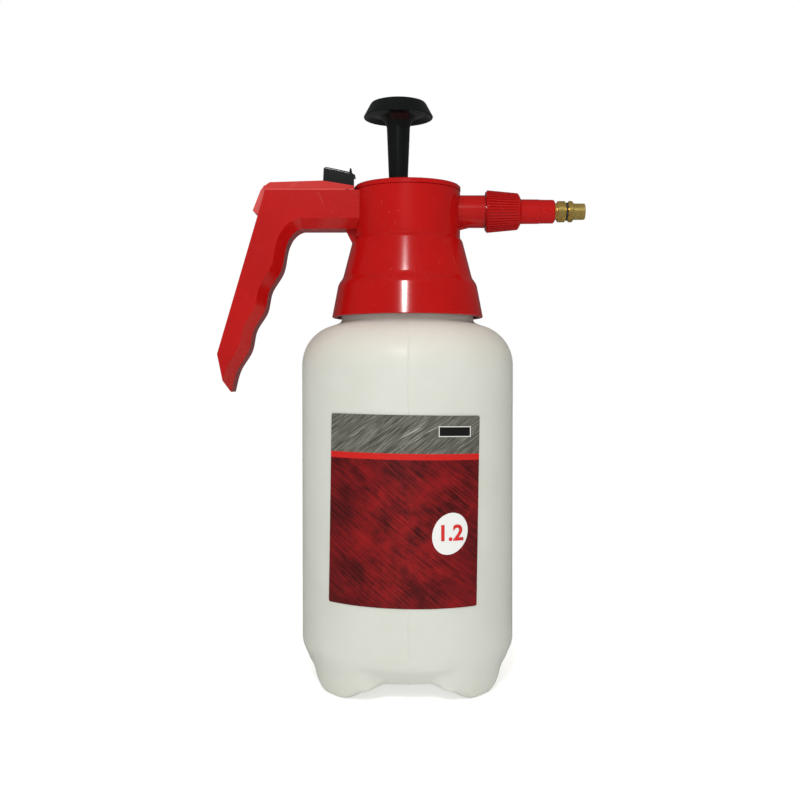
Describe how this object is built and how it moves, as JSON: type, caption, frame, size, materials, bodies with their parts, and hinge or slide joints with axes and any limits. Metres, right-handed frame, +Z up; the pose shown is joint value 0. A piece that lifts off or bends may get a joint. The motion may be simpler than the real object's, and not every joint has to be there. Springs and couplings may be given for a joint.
{
  "type": "pump sprayer",
  "caption": "Hand compression sprayer: moulded bottle, screw-on head with pistol grip, plunger pump, thumb trigger valve and adjustable brass nozzle.",
  "frame": {"origin": "on the bottle's axis, at the ground the feet stand on", "axes": "+Z up along the bottle's axis, +X out of the nozzle, -Y to the front, where the label is"},
  "size_m": [0.1801, 0.1046, 0.286],
  "materials": {
    "milky_plastic": "translucent satin polyethylene",
    "label_film": "printed film",
    "red_plastic": "glossy moulded polypropylene",
    "red_cover": "satin moulded polypropylene",
    "black_plastic": "satin moulded plastic",
    "white_plastic": "natural acetal",
    "clear_tube": "natural polyethylene tube",
    "blue_plastic": "moulded plastic",
    "black_rubber": "moulded rubber",
    "steel_pin": "bright steel",
    "brass": "turned brass"
  },
  "bodies": {
    "bottle": {"bottle": "milky_plastic", "label": "label_film"},
    "neck_ring": {"neck_gasket": "black_rubber"},
    "head": {"head_body": "red_plastic", "bridge_cover": "red_cover", "trigger_pin": "steel_pin", "valve_body": "white_plastic", "stem_gland": "black_rubber", "spring_seat": "white_plastic", "valve_spring": "steel_pin", "dip_tube": "clear_tube", "strainer": "blue_plastic", "pump_barrel": "white_plastic", "barrel_ring": "black_rubber", "check_valve": "black_rubber", "check_valve_cage": "white_plastic", "pump_cap": "red_plastic", "nozzle_seal": "black_rubber", "nozzle_nut": "red_plastic", "nozzle_tube": "red_plastic", "nozzle_base": "brass"},
    "plunger": {"plunger": "black_plastic", "piston": "white_plastic", "piston_seal": "black_rubber"},
    "trigger": {"trigger": "black_plastic"},
    "push_fork": {"push_fork": "white_plastic", "valve_stem": "white_plastic"},
    "tip_ring": {"tip_ring": "black_rubber"},
    "nozzle_tip": {"nozzle_tip": "brass", "swirl_core": "brass"}
  },
  "joints": [
    {"name": "head_turn", "type": "hinge", "parent": "bottle", "child": "neck_ring", "pos_m": [0, 0, 0.2], "axis": [0, 0, 1], "range_deg": [0, 540]},
    {"name": "head_lift", "type": "slide", "parent": "neck_ring", "child": "head", "axis": [0, 0, 1], "range_m": [0, 0.006]},
    {"name": "pump_stroke", "type": "slide", "parent": "head", "child": "plunger", "axis": [0, 0, 1], "range_m": [-0.032, 0.02]},
    {"name": "trigger_press", "type": "hinge", "parent": "head", "child": "trigger", "pos_m": [-0.0293, 0, 0.2401], "axis": [0, -1, 0], "range_deg": [0, 15.08], "stiffness_Nm_per_rad": 0.05, "springref_deg": -17.19},
    {"name": "valve_slide", "type": "slide", "parent": "head", "child": "push_fork", "axis": [1, 0, 0], "range_m": [0, 0.00201], "deforming": ["valve_spring"]},
    {"name": "tip_turn", "type": "hinge", "parent": "head", "child": "tip_ring", "pos_m": [0.079, 0, 0.2325], "axis": [1, 0, 0], "range_deg": [0, 540]},
    {"name": "tip_travel", "type": "slide", "parent": "tip_ring", "child": "nozzle_tip", "axis": [1, 0, 0], "range_m": [0, 0.00106]}
  ],
  "couplings": [
    {"joint": "head_lift", "follows": "head_turn", "m_per_rad": 0.00063662},
    {"joint": "valve_slide", "follows": "trigger_press", "m_per_rad": 0.0076},
    {"joint": "tip_travel", "follows": "tip_turn", "m_per_rad": 0.00011141}
  ]
}
